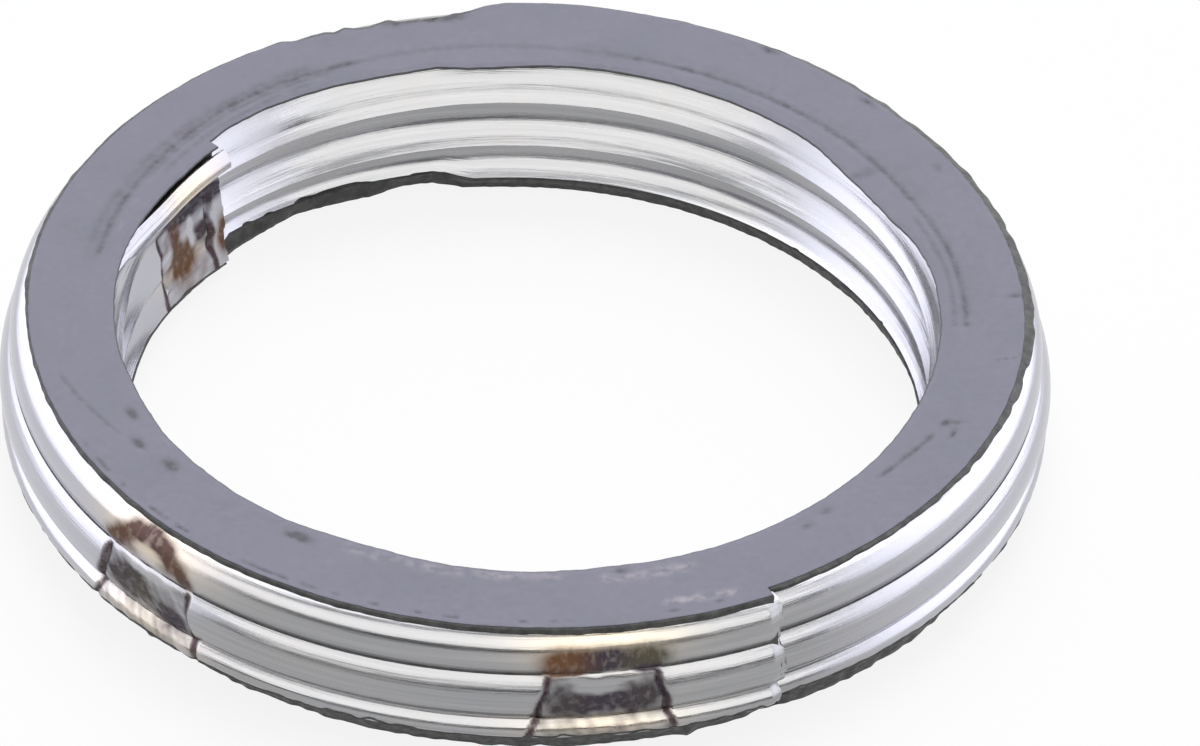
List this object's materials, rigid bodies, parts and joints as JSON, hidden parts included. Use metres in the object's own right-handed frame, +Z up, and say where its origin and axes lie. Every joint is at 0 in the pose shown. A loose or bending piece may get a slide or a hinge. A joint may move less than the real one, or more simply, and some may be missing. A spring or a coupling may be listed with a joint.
{
  "type": "exhaust gasket",
  "caption": "Round exhaust gasket: a rolled steel strip wound flat on itself with graphite pressed between its turns and over both faces.",
  "frame": {"origin": "on the ring's axis, in the plane of its lower sealing face", "axes": "+Z up along the ring's axis, out of the upper sealing face; +X to the right and +Y to the back as the picture shows it"},
  "size_m": [0.036, 0.0361, 0.0053],
  "materials": {
    "strip_steel": "rolled stainless strip with weld burns",
    "graphite": "pressed graphite, matt blue-grey with a faint sheen"
  },
  "bodies": {
    "root": {"steel_strip": "strip_steel", "graphite_filler": "graphite"}
  },
  "joints": []
}
